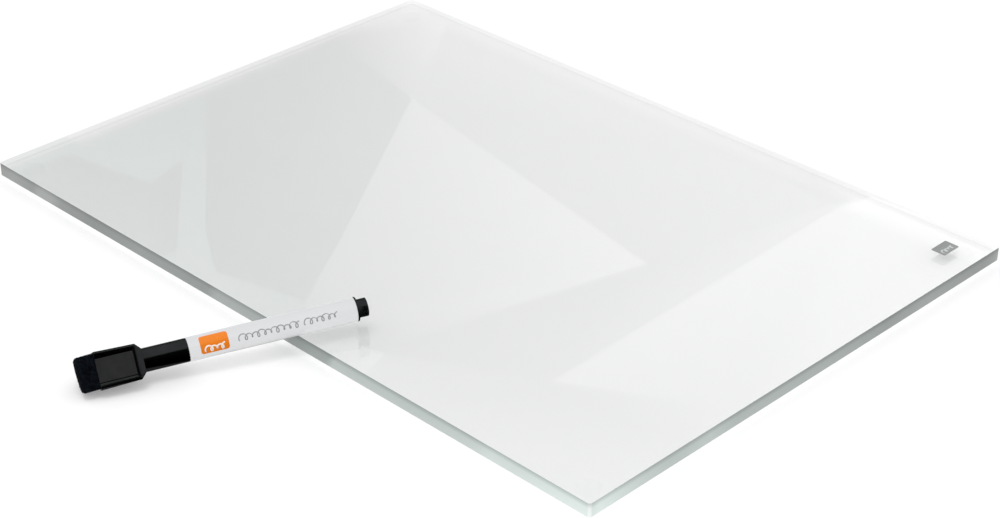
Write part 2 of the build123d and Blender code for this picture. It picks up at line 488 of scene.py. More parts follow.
# A dark cloth for the black plastic: it lies on the desk from just before the marker and stands up at its far end,
# to the left of one side, with a bright strip along its top.
darkCloth = {
    "centre": (-0.16, 0.0, 0.1 * mm),
    "facing": 81.0,
    "start": 0.003,
    "reach": 0.64,
    "half": 1.1,
    "side": -0.04,
    "height": 0.78,
    "strip": 0.03,
    "glow": 2.0,
}


def cardPoint(x, y):
    # Where the sight line that meets the writing face at (x, y) goes on to after its reflection.
    eye = Vector(photoCamera["place"])
    foot = Vector((x * mm, y * mm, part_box("acrylic_sheet")[1].z))
    onward = foot - eye
    onward.z = -onward.z
    heading = math.radians(photoCamera["heading"])
    facing = Vector((math.cos(heading), math.sin(heading), 0))
    return foot, onward, facing


def makeCard(name, points, faces, glows, material, throughSheet):
    mesh = bpy.data.meshes.new(name)
    mesh.from_pydata(points, [], faces)
    mesh.materials.append(material)
    colours = mesh.color_attributes.new("glow", "FLOAT_COLOR", "POINT")
    for value, glow in zip(colours.data, glows):
        value.color = (*glow, 1)
    card = linked(name, mesh)
    card.visible_camera = False
    card.visible_diffuse = False
    card.visible_shadow = False
    card.visible_transmission = throughSheet


def makeCards():
    material, tree, surface = newMaterial("reflectionCard")
    material.cycles.emission_sampling = "NONE"
    tree.nodes.remove(surface)
    glow = add(tree, "ShaderNodeAttribute", attribute_name="glow")
    light = add(tree, "ShaderNodeEmission", {"Color": glow.outputs["Color"]})
    fill(tree, tree.nodes["Material Output"].inputs["Surface"], light)
    for layer, (name, (green, corners)) in enumerate(reflectedPanes.items()):
        reach = cardWall["distance"] - layer * cardWall["layerGap"]
        shift = cardWall["greenShift"] * green
        points, glows = [], []
        for x, y, level in corners:
            foot, onward, facing = cardPoint(x, y)
            points.append(foot + onward * ((reach - foot.dot(facing)) / onward.dot(facing)))
            glows.append((max(0, level - shift), level + shift, level + cardWall["blueShare"] * shift))
        makeCard(name, points, [tuple(range(len(points)))], glows, material, True)

    look = darkCloth
    turn = math.radians(look["facing"])
    forward = Vector((-math.cos(turn), -math.sin(turn), 0))
    across = Vector((-math.sin(turn), math.cos(turn), 0))
    origin = Vector(look["centre"])
    foot, top = (look["reach"], 0), (look["reach"], look["height"])
    bands = [
        ((look["start"], 0), foot, -look["half"], 0),
        (foot, top, look["side"], 0),
        (top, (look["reach"], look["height"] + look["strip"]), look["side"], look["glow"]),
    ]
    points, glows, faces = [], [], []
    for near, far, side, level in bands:
        faces.append(tuple(range(len(points), len(points) + 4)))
        for (reach, height), edge in ((near, side), (near, look["half"]), (far, look["half"]), (far, side)):
            points.append(origin + forward * reach + across * edge + Vector((0, 0, height)))
            glows.append((level, level, level))
    makeCard("darkCloth", points, faces, glows, material, False)


makeCards()
print("reflection cards:", len(reflectedPanes) + 1)


# Acrylic sheet

sheetLook = {
    "cornerRadius": 1.0 * mm,
    "cornerSteps": 10,
    "arris": 0.06 * mm,
    "glueClearance": 0.02 * mm,
    "finish": {
        "tint": (0.816, 0.813, 0.815, 1),
        "ior": 1.49,
        "haze": (0.0, 0.012),
        "shadowTint": (0.955, 0.965, 0.96, 1),
        "smear": 30 * mm,
    },
}

# The side faces' painted reflections and shade: tones along the left edge from the front, along the front edge
# from the left, and painted shade up the face
edgePaintedLight = {
    "left": [
        (0.0, 243), (0.04, 238), (0.1, 228), (0.135, 228), (0.165, 215), (0.25, 207), (0.375, 205), (0.385, 178),
        (0.42, 174), (0.575, 171), (0.59, 150), (0.72, 150), (0.8, 138), (0.87, 144), (0.89, 161), (0.915, 163),
        (0.93, 145), (0.97, 154), (1.0, 143),
    ],
    "front": [
        (0.0, 236), (0.02, 244), (0.04, 238), (0.07, 229), (0.12, 216), (0.17, 207), (0.26, 211), (0.32, 197),
        (0.5, 190), (0.6, 184), (0.69, 173), (0.79, 180), (0.95, 168), (0.98, 174), (1.0, 186),
    ],
    # Painted shade that darkens each side face towards its top
    "upwardShade": [
        (0.0, (1, 1, 1, 1)),
        (0.62, (0.94, 0.94, 0.94, 1)),
        (0.86, (0.74, 0.75, 0.74, 1)),
        (1.0, (0.6, 0.62, 0.61, 1)),
    ],
    "green": 10,
    "greenFade": 7,
    # A painted highlight at the front left corner, within the corner band
    "corner": shade(246, 252, 250),
    "cornerHighlightBand": (0.6 * mm, 1.1 * mm),
    # Painted shade for the rear side faces
    "rear": shade(165, 173, 170),
    "lean": 0.62,
    # Strength of the painted tones' own glow
    "glow": 0.12,
    "roughness": 0.12,
    "openTint": (0.985, 0.985, 0.985, 1),
}


def greenishStops(stops):
    # Grey tones as colours whose green grows fainter along the edge.
    colours = []
    for position, tone in stops:
        green = edgePaintedLight["green"] - edgePaintedLight["greenFade"] * position
        colours.append((position, shade(tone - green, tone, tone - green / 3)))
    return colours


def paintedLightEdgeMaterial():
    # The sheet's side faces, with painted light and shade: a painted highlight at the front left corner, painted
    # reflections that fade to grey along both edges, painted shade towards the top, and a faint glow of the same
    # tones.
    look = edgePaintedLight
    material, tree, surface = newMaterial("paintedLightEdge")
    maths = partial(calculate, tree)
    low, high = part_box("acrylic_sheet")
    x, y, z = add(tree, "ShaderNodeSeparateXYZ", {0: objectPlace(tree)}).outputs[:3]
    lean = maths("MULTIPLY", maths("SUBTRACT", z, (low.z + high.z) / 2), look["lean"])
    alongLeft = spread(tree, maths("ADD", y, lean), 0, 1, low.y, high.y)
    alongFront = spread(tree, x, 0, 1, low.x, high.x)
    fromLeft = maths("SUBTRACT", x, low.x)
    fromFront = maths("SUBTRACT", y, low.y)
    toRight = maths("SUBTRACT", high.x, x)
    toRear = maths("SUBTRACT", high.y, y)
    isLeft = maths("LESS_THAN", fromLeft, fromFront)
    near = maths("MINIMUM", fromLeft, fromFront)
    isNear = maths("LESS_THAN", near, maths("MINIMUM", toRight, toRear))
    front = colourRamp(tree, alongFront, greenishStops(look["front"]))
    left = colourRamp(tree, alongLeft, greenishStops(look["left"]))
    colour = blended(tree, isLeft, front, left)
    # A painted highlight in a narrow band along the front left corner.
    cornerHighlightShare = spread(tree, maths("MAXIMUM", fromLeft, fromFront), 1, 0, *look["cornerHighlightBand"])
    colour = blended(tree, cornerHighlightShare, colour, look["corner"])
    colour = blended(tree, isNear, look["rear"], colour)
    # Painted shade towards the top of the face.
    upwardShade = colourRamp(tree, spread(tree, z, 0, 1, low.z, high.z), look["upwardShade"])
    colour = blended(tree, 1.0, colour, upwardShade, "MULTIPLY")
    # The painted tones also give off a faint glow of their own.
    setSurface(
        surface,
        Base_Color=colour,
        Roughness=look["roughness"],
        IOR=sheetLook["finish"]["ior"],
        Emission_Color=colour,
        Emission_Strength=look["glow"],
    )
    material.cycles.emission_sampling = "NONE"
    inside = add(tree, "ShaderNodeNewGeometry").outputs["Backfacing"]
    rays = add(tree, "ShaderNodeLightPath").outputs
    showThrough(tree, surface, maths("MAXIMUM", inside, rays["Is Shadow Ray"]), look["openTint"])
    return material


def sheetTree():
    # A flat slab with rounded corners: a filled outline, raised by its thickness and closed below.
    tree, given = startTree("roundedSlab", {
        "Float": ("Width", "Length", "Thickness", "Corner Radius"),
        "Int": ("Corner Steps",),
        "Vector": ("Base",),
        "Material": ("Face Finish", "Side Finish"),
    })
    size = {"Width": given["Width"], "Height": given["Length"]}
    outline = geometry(tree, "CurvePrimitiveQuadrilateral", size)
    corners = {"Count": given["Corner Steps"], "Radius": given["Corner Radius"], "Limit Radius": True}
    rounded = geometry(tree, "FilletCurve", {"Curve": outline, **corners}, mode="POLY")
    filled = geometry(tree, "FillCurve", {"Curve": rounded}, mode="NGONS")
    height = {"Offset Scale": given["Thickness"], "Individual": False}
    raised = geometry(tree, "ExtrudeMesh", {"Mesh": filled, **height})
    underside = geometry(tree, "FlipFaces", {"Mesh": filled})
    closed = together(tree, underside, raised)
    merged = geometry(tree, "MergeByDistance", {"Geometry": closed, "Distance": weld})
    moved = geometry(tree, "Transform", {"Geometry": merged, "Translation": given["Base"]})
    finishes = [(True, given["Face Finish"]), (raised.outputs["Side"], given["Side Finish"])]
    endTree(tree, moved, finishes)
    return tree


def makeSheet():
    low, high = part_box("acrylic_sheet")
    low.z += sheetLook["glueClearance"]
    size = high - low
    side = paintedLightEdgeMaterial()
    mesh = grownMesh("acrylicSheet", sheetTree(), {
        "Width": size.x,
        "Length": size.y,
        "Thickness": size.z,
        "Corner Radius": sheetLook["cornerRadius"],
        "Corner Steps": sheetLook["cornerSteps"],
        "Base": ((low.x + high.x) / 2, (low.y + high.y) / 2, low.z),
        "Face Finish": clearMaterial("clearAcrylic", **sheetLook["finish"]),
        "Side Finish": side,
    })
    materials = list(mesh.materials)
    bm = bmesh.new()
    bm.from_mesh(mesh)
    # The softened arris strips take the side faces' painted light and shade.
    for strip in softenEdges(bm, sheetLook["arris"], fromDegrees=60):
        strip.material_index = materials.index(side)
    sheet = placed("acrylicSheet", bm, "board", materials)
    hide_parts("acrylic_sheet")


makeSheet()
print("acrylic sheet ready")


# The feet, the glue behind magnet and felt, and the film keep their own solids and get their finish here

def finishNode(name, material):
    node = frame["nodes"][name]
    node.data.materials.clear()
    node.data.materials.append(material)


softLook = {"ior": 1.003, "haze": (0.0, 0.01), "shadowTint": (0.999, 1, 1, 1), "smear": 1 * mm}
silicone = clearMaterial("clearSilicone", tint=(0.999, 1, 1, 1), **softLook)
glue = clearMaterial("clearGlue", tint=(0.999, 1, 0.999, 1), **softLook)
film = filmMaterial("clearFilm", tone=(0.85, 0.86, 0.86, 1), body=(0.14, 0.26), gloss=(0.1, 0.25), smear=2 * mm)
corners = [f"{end}_{side}" for end in ("front", "rear") for side in ("left", "right")]
for corner in corners:
    finishNode("foot_" + corner, silicone)
finishNode("magnet_glue", glue)
finishNode("eraser_glue", glue)
finishNode("reservoir_film", film)


# Glue discs on the feet

discLook = {"clearance": 0.015 * mm, "bulge": 0.04 * mm, "steps": 48}


def makeGlueDisc(corner):
    # The glue between a foot and the sheet, pressed out a little round its rim.
    node = f"foot_glue_{corner}"
    low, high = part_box(node)
    middle = (low + high) / 2
    radius, half = (high.x - low.x) / 2, (high.z - low.z) / 2 - discLook["clearance"]
    rim = radius - discLook["bulge"]
    profile = [(0, -half), (rim, -half), (radius, 0), (rim, half), (0, half)]
    mesh = finished(node, turned(profile, discLook["steps"]))
    disc = placed("glueDisc_" + corner, mesh, "board", [glue], Matrix.Translation(middle))
    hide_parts(node)


for corner in corners:
    makeGlueDisc(corner)


# Badge in the sheet's corner

badgeLook = {
    "corner": 0.35 * mm,
    "cornerSteps": 6,
    "arris": 0.04 * mm,
    "face": shade(138, 142, 141),
    "farTone": shade(128, 132, 131),
    "fade": (0.35, 0.95),
    "grain": 0.5 * mm,
    "gloss": (0.35, 0.5),
}


def badgeMaterial():
    # A flat grey print, a little darker towards its far edge.
    look = badgeLook
    material, tree, surface = newMaterial("badgePrint")
    low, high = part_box("corner_badge")
    place = objectPlace(tree)
    y = add(tree, "ShaderNodeSeparateXYZ", {0: place}).outputs["Y"]
    share = spread(tree, spread(tree, y, 0, 1, low.y, high.y), 0, 1, *look["fade"])
    gloss = spread(tree, noise(tree, place, look["grain"]), *look["gloss"])
    setSurface(surface, Base_Color=blended(tree, share, look["face"], look["farTone"]), Roughness=gloss)
    return material


def makeBadge():
    # A thin plate with small corners, its edges broken.
    low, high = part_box("corner_badge")
    radius, steps = badgeLook["corner"], badgeLook["cornerSteps"]
    middle = (low + high) / 2
    outline = []
    for turn, (x, y) in enumerate(((high.x, high.y), (low.x, high.y), (low.x, low.y), (high.x, low.y))):
        cornerX = x - math.copysign(radius, x - middle.x)
        cornerY = y - math.copysign(radius, y - middle.y)
        for step in range(steps + 1):
            angle = math.pi / 2 * (turn + step / steps)
            outline.append((cornerX + radius * math.cos(angle), cornerY + radius * math.sin(angle)))
    bm = throughRings([[(x, y, z) for x, y in outline] for z in (low.z, high.z)])
    softenEdges(bm, badgeLook["arris"], steps=1, fromDegrees=60)
    badge = placed("cornerBadge", bm, "board", [badgeMaterial()])
    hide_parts("corner_badge")


makeBadge()
print("feet and badge ready")


# The marker's plastics, rubber and fibres

# Deep black plastic sends back next to no light but its gloss, so its finish is all gloss.
blackLook = {
    "dark": (0.024, 0.0255, 0.026, 1),
    "light": (0.031, 0.033, 0.034, 1),
    "roughness": (0.16, 0.24),
    "grain": 0.35 * mm,
    "bump": 0.003 * mm,
    "Metallic": 1.0,
    "Specular_Tint": (0.45, 0.45, 0.45, 1),
}
mouldedLooks = {
    "blackPlastic": blackLook,
    # The plug's copy of the black plastic, which gets painted shade on its underside
    "plugPlastic": blackLook,
    "holderPlastic": {
        "dark": (0.02, 0.021, 0.023, 1), "light": (0.03, 0.031, 0.033, 1),
        "roughness": (0.35, 0.5), "grain": 0.4 * mm, "bump": 0.006 * mm,
    },
    "sealPlastic": {
        "dark": (0.72, 0.72, 0.7, 1), "light": (0.8, 0.8, 0.78, 1),
        "roughness": (0.4, 0.55), "grain": 0.5 * mm, "bump": 0.005 * mm,
    },
    "magnetRubber": {
        "dark": (0.012, 0.013, 0.0125, 1), "light": (0.018, 0.0195, 0.0185, 1),
        "roughness": (0.55, 0.7), "grain": 0.3 * mm, "bump": 0.012 * mm,
        "Specular_IOR_Level": 0.25,
    },
    "whitePlastic": {
        "dark": (0.69, 0.693, 0.70, 1), "light": (0.715, 0.715, 0.72, 1),
        "roughness": (0.16, 0.24), "grain": 1.2 * mm, "bump": 0.003 * mm,
    },
    "inkFibre": {
        "dark": (0.02, 0.02, 0.03, 1), "light": (0.05, 0.05, 0.065, 1),
        "roughness": (0.85, 0.95), "grain": 0.15 * mm, "bump": 0.05 * mm,
    },
    "nibFibre": {
        "dark": (0.012, 0.012, 0.016, 1), "light": (0.035, 0.035, 0.042, 1),
        "roughness": (0.7, 0.85), "grain": 0.1 * mm, "bump": 0.03 * mm,
    },
}

# Painted light and shade on the round pieces: the white barrel painted a little darker on top and lighter
# underneath, the plug painted dark on its underside; and how far below the axis the change starts and ends
paintedRoundLightAndShade = {
    "whitePlastic": {
        "top": (0.91, 0.915, 0.93, 1), "under": (1.35, 1.35, 1.355, 1),
        "startsAt": -4.0 * mm, "fullBelow": 1.75 * mm,
    },
    "plugPlastic": {
        "top": (1.0, 1.0, 1.0, 1), "under": (0.22, 0.22, 0.22, 1),
        "startsAt": -1.4 * mm, "fullBelow": -0.3 * mm,
    },
}
markerFinish = {name: moulded(name, **look) for name, look in mouldedLooks.items()}
# Paints the barrel's lighter underside and the plug's dark underside.
for name, look in paintedRoundLightAndShade.items():
    paintLightAndShadeBelow(markerFinish[name], look)
finishNode("cap_liner", markerFinish["sealPlastic"])
finishNode("nib_holder", markerFinish["holderPlastic"])
finishNode("nib", markerFinish["nibFibre"])
finishNode("ink_reservoir", markerFinish["inkFibre"])


# Cap shell

capLook = {
    "backSteps": 22,
    "headStart": 5.9 * mm,
    "slotEnd": 18.1 * mm,
    "shoulderStart": 19.1 * mm,
    "neckStart": 20.9 * mm,
    "mouth": 35.4 * mm,
    "frontHalf": 6.25 * mm,
    "rearHalf": 5.8 * mm,
    "face": 4.3 * mm,
    "neckRadius": 3.9 * mm,
    "boreRadius": 3.2 * mm,
    "cornerCut": 0.5 * mm,
    "slotHalf": 3.95 * mm,
    "slotFloor": 2.8 * mm,
    "tubeSteps": 72,
    "tubeOverlap": 1 * mm,
    "tubeSoftness": 0.12 * mm,
    "lipWidth": 0.62 * mm,
    "lipDepth": 0.27 * mm,
    "softness": 0.22 * mm,
}


def flatFacedOutline(half, face, cut, backSteps, onFace=()):
    # A rounded back, straight sides and a flat face with broken corners, with more points along the face.
    back = [math.pi * (0.5 + step / backSteps) for step in range(backSteps + 1)]
    points = [(half * math.cos(angle), half * math.sin(angle)) for angle in back]
    return points + [(face - cut, -half), (face, cut - half), *onFace, (face, half - cut), (face - cut, half)]


def headRing(half, face, slotDepth, station):
    # One slice of the head, with the lips and the floor of the magnet's slot.
    cut = capLook["cornerCut"]
    slot = min(capLook["slotHalf"], half - cut)
    lip = min(capLook["lipWidth"], half - cut - slot)
    drop = min(capLook["lipDepth"], slotDepth)
    nearHalf = [(face, -slot - lip), (face - drop, -slot), (face - slotDepth, -slot)]
    slotPoints = nearHalf + [(x, -y) for x, y in reversed(nearHalf)]
    return [(x, y, station) for x, y in flatFacedOutline(half, face, cut, capLook["backSteps"], slotPoints)]


def makeCapShell():
    look = capLook
    depth = look["face"] - look["slotFloor"]
    share = (look["slotEnd"] - look["headStart"]) / (look["shoulderStart"] - look["headStart"])
    slotHalf = look["frontHalf"] + (look["rearHalf"] - look["frontHalf"]) * share
    rings = [
        headRing(look["frontHalf"], look["face"], depth, look["headStart"]),
        headRing(slotHalf, look["face"], depth, look["slotEnd"]),
        headRing(slotHalf, look["face"], 0, look["slotEnd"]),
        headRing(look["rearHalf"], look["face"], 0, look["shoulderStart"]),
        headRing(look["neckRadius"], look["neckRadius"], 0, look["neckStart"]),
    ]
    bm = welded(throughRings(rings))
    softenEdges(bm, look["softness"], steps=3, fromDegrees=25)
    inner = look["neckStart"] - look["tubeOverlap"]
    profile = [
        (0, inner),
        (look["neckRadius"], inner),
        (look["neckRadius"], look["mouth"]),
        (look["boreRadius"], look["mouth"]),
        (look["boreRadius"], look["neckStart"]),
        (0, look["neckStart"]),
    ]
    bm.from_mesh(finished("capTube", turned(profile, look["tubeSteps"], look["tubeSoftness"])))
    shell = placed("capShell", bm, "cap", [markerFinish["blackPlastic"]], markerPlace)
    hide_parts("cap_shell")


makeCapShell()


# Magnet in the cap's flat face

magnetLook = {
    "length": 12.1 * mm,
    "width": 7.7 * mm,
    "back": 2.9 * mm,
    "face": 4.4 * mm,
    "start": 5.9 * mm,
    "softness": 0.15 * mm,
}


def makeMagnet():
    look = magnetLook
    bm = bmesh.new()
    bmesh.ops.create_cube(bm, size=1)
    bmesh.ops.scale(bm, vec=(look["face"] - look["back"], look["width"], look["length"]), verts=bm.verts)
    middle = ((look["face"] + look["back"]) / 2, 0, look["start"] + look["length"] / 2)
    bmesh.ops.translate(bm, vec=middle, verts=bm.verts)
    softenEdges(bm, look["softness"], steps=3)
    magnet = placed("magnetStrip", bm, "cap", [markerFinish["magnetRubber"]], markerPlace)
    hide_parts("cap_magnet")


makeMagnet()


# Felt eraser

feltLook = {
    "half": 5.68 * mm,
    "face": 3.9 * mm,
    "cornerCut": 0.5 * mm,
    "backSteps": 24,
    "front": 0.19 * mm,
    "frontShares": (0.15, 0.4, 0.65, 0.85, 1.0),
    "skew": 0.05,
    "slant": 0.017 / mm,
    "straightAt": 3.0 * mm,
    "end": 5.95 * mm,
    "endCut": 0.62 * mm,
    "rows": 16,
    "ringSteps": 90,
    "lumps": 0.14 * mm,
    "lumpScale": 1100.0,
    "lumpSink": 0.62,
    "fibres": 5200,
    "fibreLength": 0.34 * mm,
    "fibreRadius": 0.022 * mm,
    "fibreSizes": (0.5, 1.2),
    "fibreTurns": (0.5, 0.5, 3.1),
    "seed": 7,
    "mattedSize": 0.5 * mm,
    "layerSize": 1.6 * mm,
    "layerFade": (0.35, 0.65),
    "fleckSize": 0.28 * mm,
    "fleckFade": (0.6, 0.72),
    "reliefStrength": 0.8,
    "reliefDepth": 0.12 * mm,
}

# One bent fibre of length 1
strandPoints = {
    "Start": (0, 0, 0),
    "Start Handle": (0, 0, 0.4),
    "End Handle": (0.5, 0.1, 0.5),
    "End": (0.9, 0.3, 0.25),
}

# The felt's dark, light and fleck tones
feltShades = {
    "blackFelt": ((0.0004, 0.0008, 0.0016, 1), (0.0045, 0.006, 0.0085, 1), (0.02, 0.024, 0.034, 1)),
    "feltFibre": ((0.0008, 0.0014, 0.0024, 1), (0.007, 0.009, 0.013, 1), (0.026, 0.03, 0.042, 1)),
}


def feltMaterial(name, dark, light, fleck):
    # Matted dark fibres with a few paler flecks.
    look = feltLook
    material, tree, surface = newMaterial(name)
    place = objectPlace(tree, markerPlace)
    matted = noise(tree, place, look["mattedSize"], detail=5, roughness=0.7)
    layers = noise(tree, place, look["layerSize"])
    flecks = noise(tree, place, look["fleckSize"], detail=2)
    tone = blended(tree, spread(tree, layers, 0, 1, *look["layerFade"]), dark, light)
    tone = blended(tree, spread(tree, flecks, 0, 1, *look["fleckFade"]), tone, fleck)
    setSurface(
        surface,
        Base_Color=tone,
        Roughness=0.95,
        Normal=relief(tree, matted, look["reliefStrength"], look["reliefDepth"]),
        Specular_IOR_Level=0.04,
        Sheen_Weight=0.02,
        Sheen_Roughness=0.5,
        Sheen_Tint=(0.5, 0.55, 0.75, 1),
    )
    return material


def feltOutline(shrink):
    # Evenly spaced points round the felt's cross-section, drawn in by shrink.
    half, face, steps = feltLook["half"] - shrink, feltLook["face"] - shrink, feltLook["ringSteps"]
    path = flatFacedOutline(half, face, feltLook["cornerCut"], feltLook["backSteps"])
    path.append(path[0])
    lengths = [math.dist(a, b) for a, b in zip(path, path[1:])]
    total, points, leg, gone = sum(lengths), [], 0, 0.0
    for i in range(steps):
        wanted = total * i / steps
        while gone + lengths[leg] < wanted:
            gone += lengths[leg]
            leg += 1
        t = (wanted - gone) / lengths[leg]
        (ax, ay), (bx, by) = path[leg], path[leg + 1]
        points.append((ax + (bx - ax) * t, ay + (by - ay) * t))
    return points


def feltRing(shrink, scale, station):
    # One slice of the felt, which sits a little askew in the cap and is cut on a slant.
    out = feltLook["straightAt"] - station
    slant = feltLook["slant"] * max(0.0, out)
    outline = [(x * scale, y * scale) for x, y in feltOutline(shrink)]
    return [(x, y + feltLook["skew"] * out, station - slant * (feltLook["half"] - y)) for x, y in outline]


def feltBlock():
    look = feltLook
    front, cut = look["front"], look["endCut"]
    rings = [feltRing(cut, scale, front) for scale in look["frontShares"]]
    rings.append(feltRing(cut / 2, 1.0, front + cut / 2))
    for row in range(look["rows"] + 1):
        rings.append(feltRing(0.0, 1.0, front + cut + (look["end"] - front - cut) * row / look["rows"]))
    return finished("feltBlock", throughRings(rings))


def feltTree():
    # Lumps the felt's surface a little and stands short bent fibres on it.
    look = feltLook
    tree, given = startTree("feltFibres", {
        "Geometry": ("Block",),
        "Float": ("Lump Height", "Fibre Density", "Fibre Length", "Fibre Radius"),
        "Int": ("Seed",),
        "Material": ("Felt Finish", "Fibre Finish"),
    })
    ripple = add(tree, "ShaderNodeTexNoise", {"Scale": look["lumpScale"], "Detail": 3.0})
    centred = calculate(tree, "SUBTRACT", ripple.outputs["Fac"], look["lumpSink"])
    height = calculate(tree, "MULTIPLY", centred, given["Lump Height"])
    normal = geometry(tree, "InputNormal")
    offset = add(tree, "ShaderNodeVectorMath", {0: normal, "Scale": height}, operation="SCALE")
    lumpy = geometry(tree, "SetPosition", {"Geometry": given["Block"], "Offset": offset})
    seed = given["Seed"]
    spots = {"Mesh": lumpy, "Density": given["Fibre Density"], "Seed": seed}
    scatter = geometry(tree, "DistributePointsOnFaces", spots)
    strand = geometry(tree, "CurvePrimitiveBezierSegment", {**strandPoints, "Resolution": 3})
    length = add(tree, "ShaderNodeCombineXYZ", {i: given["Fibre Length"] for i in range(3)})
    short = geometry(tree, "Transform", {"Geometry": strand, "Scale": length})
    ring = geometry(tree, "CurvePrimitiveCircle", {"Resolution": 3, "Radius": given["Fibre Radius"]})
    tube = {"Curve": short, "Profile Curve": ring, "Fill Caps": True}
    hair = geometry(tree, "CurveToMesh", tube)
    marked = geometry(tree, "CaptureAttribute", {"Geometry": hair}, domain="FACE")
    marked.capture_items.new("BOOLEAN", "Fibre")
    marked.inputs["Fibre"].default_value = True
    # A Random Value node's limits are inputs 0 and 1 for a vector, and 2 and 3 for a number.
    turns = {0: [-limit for limit in look["fibreTurns"]], 1: look["fibreTurns"], "Seed": seed}
    spin = add(tree, "FunctionNodeRandomValue", turns, data_type="FLOAT_VECTOR")
    turn = add(tree, "FunctionNodeRotateRotation", {0: scatter.outputs["Rotation"], 1: spin})
    turn.rotation_space = "LOCAL"
    small, large = look["fibreSizes"]
    size = add(tree, "FunctionNodeRandomValue", {2: small, 3: large, "Seed": seed}, data_type="FLOAT")
    fibres = geometry(tree, "InstanceOnPoints", {
        "Points": scatter,
        "Instance": marked,
        "Rotation": turn,
        "Scale": size.outputs[1],
    })
    finishes = [(True, given["Felt Finish"]), (marked.outputs["Fibre"], given["Fibre Finish"])]
    endTree(tree, together(tree, fibres, lumpy), finishes)
    return tree


def makeFelt():
    look = feltLook
    block = feltBlock()
    area = sum(face.area for face in block.polygons)
    mesh = grownMesh("eraserFelt", feltTree(), {
        "Lump Height": look["lumps"],
        "Fibre Density": look["fibres"] / area,
        "Fibre Length": look["fibreLength"],
        "Fibre Radius": look["fibreRadius"],
        "Seed": look["seed"],
        "Felt Finish": feltMaterial("blackFelt", *feltShades["blackFelt"]),
        "Fibre Finish": feltMaterial("feltFibre", *feltShades["feltFibre"]),
    }, block)
    felt = placed("eraserFelt", mesh, "cap", (), markerPlace)
    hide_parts("eraser_felt")


makeFelt()
print("cap, magnet and felt ready")


# Barrel, its print and its end plug

barrelLook = {
    "start": 35.5 * mm,
    "end": 91.5 * mm,
    "radius": 4.0 * mm,
    "bore": 3.2 * mm,
    "steps": 128,
    "softness": 0.15 * mm,
}
plugLook = {
    "seat": 3.18 * mm,
    "seatDepth": 4 * mm,
    "flange": 4.085 * mm,
    "flangeEnd": 92.05 * mm,
    "knob": 3.1 * mm,
    "knobEnd": 95.4 * mm,
    "waist": 0.03 * mm,
    "waistSteps": 8,
    "waistPower": 1.3,
    "waistShare": 0.8,
    "steps": 96,
    "softness": 0.1 * mm,
}


def makeBarrel():
    look = barrelLook
    profile = [
        (look["bore"], look["start"]),
        (look["radius"], look["start"]),
        (look["radius"], look["end"]),
        (look["bore"], look["end"]),
        (look["bore"], look["start"]),
    ]
    bm = turned(profile, look["steps"], look["softness"])
    barrel = placed("markerBarrel", bm, "marker", [markerFinish["whitePlastic"]], markerPlace)
    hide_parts("barrel")


def makePlug():
    # A seat in the barrel, a thin flange and a knob with a slight waist.
    look = plugLook
    rim, knob, flangeEnd = barrelLook["end"], look["knob"], look["flangeEnd"]
    waistLength, steps = look["waistShare"] * (look["knobEnd"] - flangeEnd), look["waistSteps"]
    waist = []
    for step in range(1, steps + 1):
        sunk = look["waist"] * math.sin(math.pi * step / steps) ** look["waistPower"]
        waist.append((knob - sunk, flangeEnd + waistLength * step / steps))
    profile = [
        (0, rim - look["seatDepth"]),
        (look["seat"], rim - look["seatDepth"]),
        (look["seat"], rim),
        (look["flange"], rim),
        (look["flange"], flangeEnd),
        (knob, flangeEnd),
        *waist,
        (knob, look["knobEnd"]),
        (0, look["knobEnd"]),
    ]
    bm = turned(profile, look["steps"], look["softness"])
    plug = placed("endPlug", bm, "marker", [markerFinish["plugPlastic"]], markerPlace)
    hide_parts("end_plug")


printLook = {"lift": 0.012 * mm, "toneGrain": 0.8 * mm, "glossGrain": 0.4 * mm, "gloss": (0.2, 0.3)}
blockLook = {
    "start": 39.2 * mm,
    "end": 48.5 * mm,
    "middle": -0.25 * mm,
    "half": 3.15 * mm,
    "corner": 0.9 * mm,
    "cornerSteps": 8,
    "columns": 20,
}
printShades = {
    "orange": (shade(232, 122, 2), shade(236, 128, 6)),
    "grey": (shade(146, 148, 148), shade(160, 162, 162)),
    "white": (shade(243, 236, 226), shade(248, 243, 236)),
    "pale": (shade(206, 210, 209), shade(214, 218, 217)),
}
strokeLook = {"points": 400, "unevenRate": 0.37, "unevenShare": 0.3, "lean": 0.8}

# Looping pen lines: two grey ones on the barrel, a white one on its orange block and a pale one on the badge
greyStroke = {"Loop Height": 0.85 * mm, "Middle": 0.3 * mm, "Width": 0.36 * mm, "Radius": 4.0 * mm}
penLines = {
    "greyLine": {"Start": 52.0 * mm, "Length": 20.0 * mm, "Loops": 9.5, **greyStroke},
    "greyLineShort": {"Start": 73.8 * mm, "Length": 11.0 * mm, "Loops": 5.5, **greyStroke},
    "whiteLine": {
        "Start": 40.8 * mm, "Length": 6.4 * mm, "Loops": 3.5, "Loop Height": 0.75 * mm,
        "Middle": 1.35 * mm, "Width": 0.5 * mm, "Radius": 4.024 * mm,
    },
    "badgeLine": {
        "Start": 1.2 * mm, "Length": 5.8 * mm, "Loops": 3.5, "Loop Height": 0.62 * mm,
        "Middle": -1.75 * mm, "Width": 0.45 * mm, "Radius": 1000 * mm,
    },
}


def printMaterial(name, ink):
    look = printLook
    material, tree, surface = newMaterial(name)
    place = objectPlace(tree, markerPlace)
    tone = blended(tree, spread(tree, noise(tree, place, look["toneGrain"])), *printShades[ink])
    gloss = spread(tree, noise(tree, place, look["glossGrain"]), *look["gloss"])
    setSurface(surface, Base_Color=tone, Roughness=gloss)
    return material


def wrapped(bm, radius):
    # Bends a flat bmesh whose y runs round the barrel and whose z runs along it onto the barrel.
    for vert in bm.verts:
        angle = vert.co.y / barrelLook["radius"]
        reach = radius + vert.co.x
        vert.co = (reach * math.cos(angle), reach * math.sin(angle), vert.co.z)


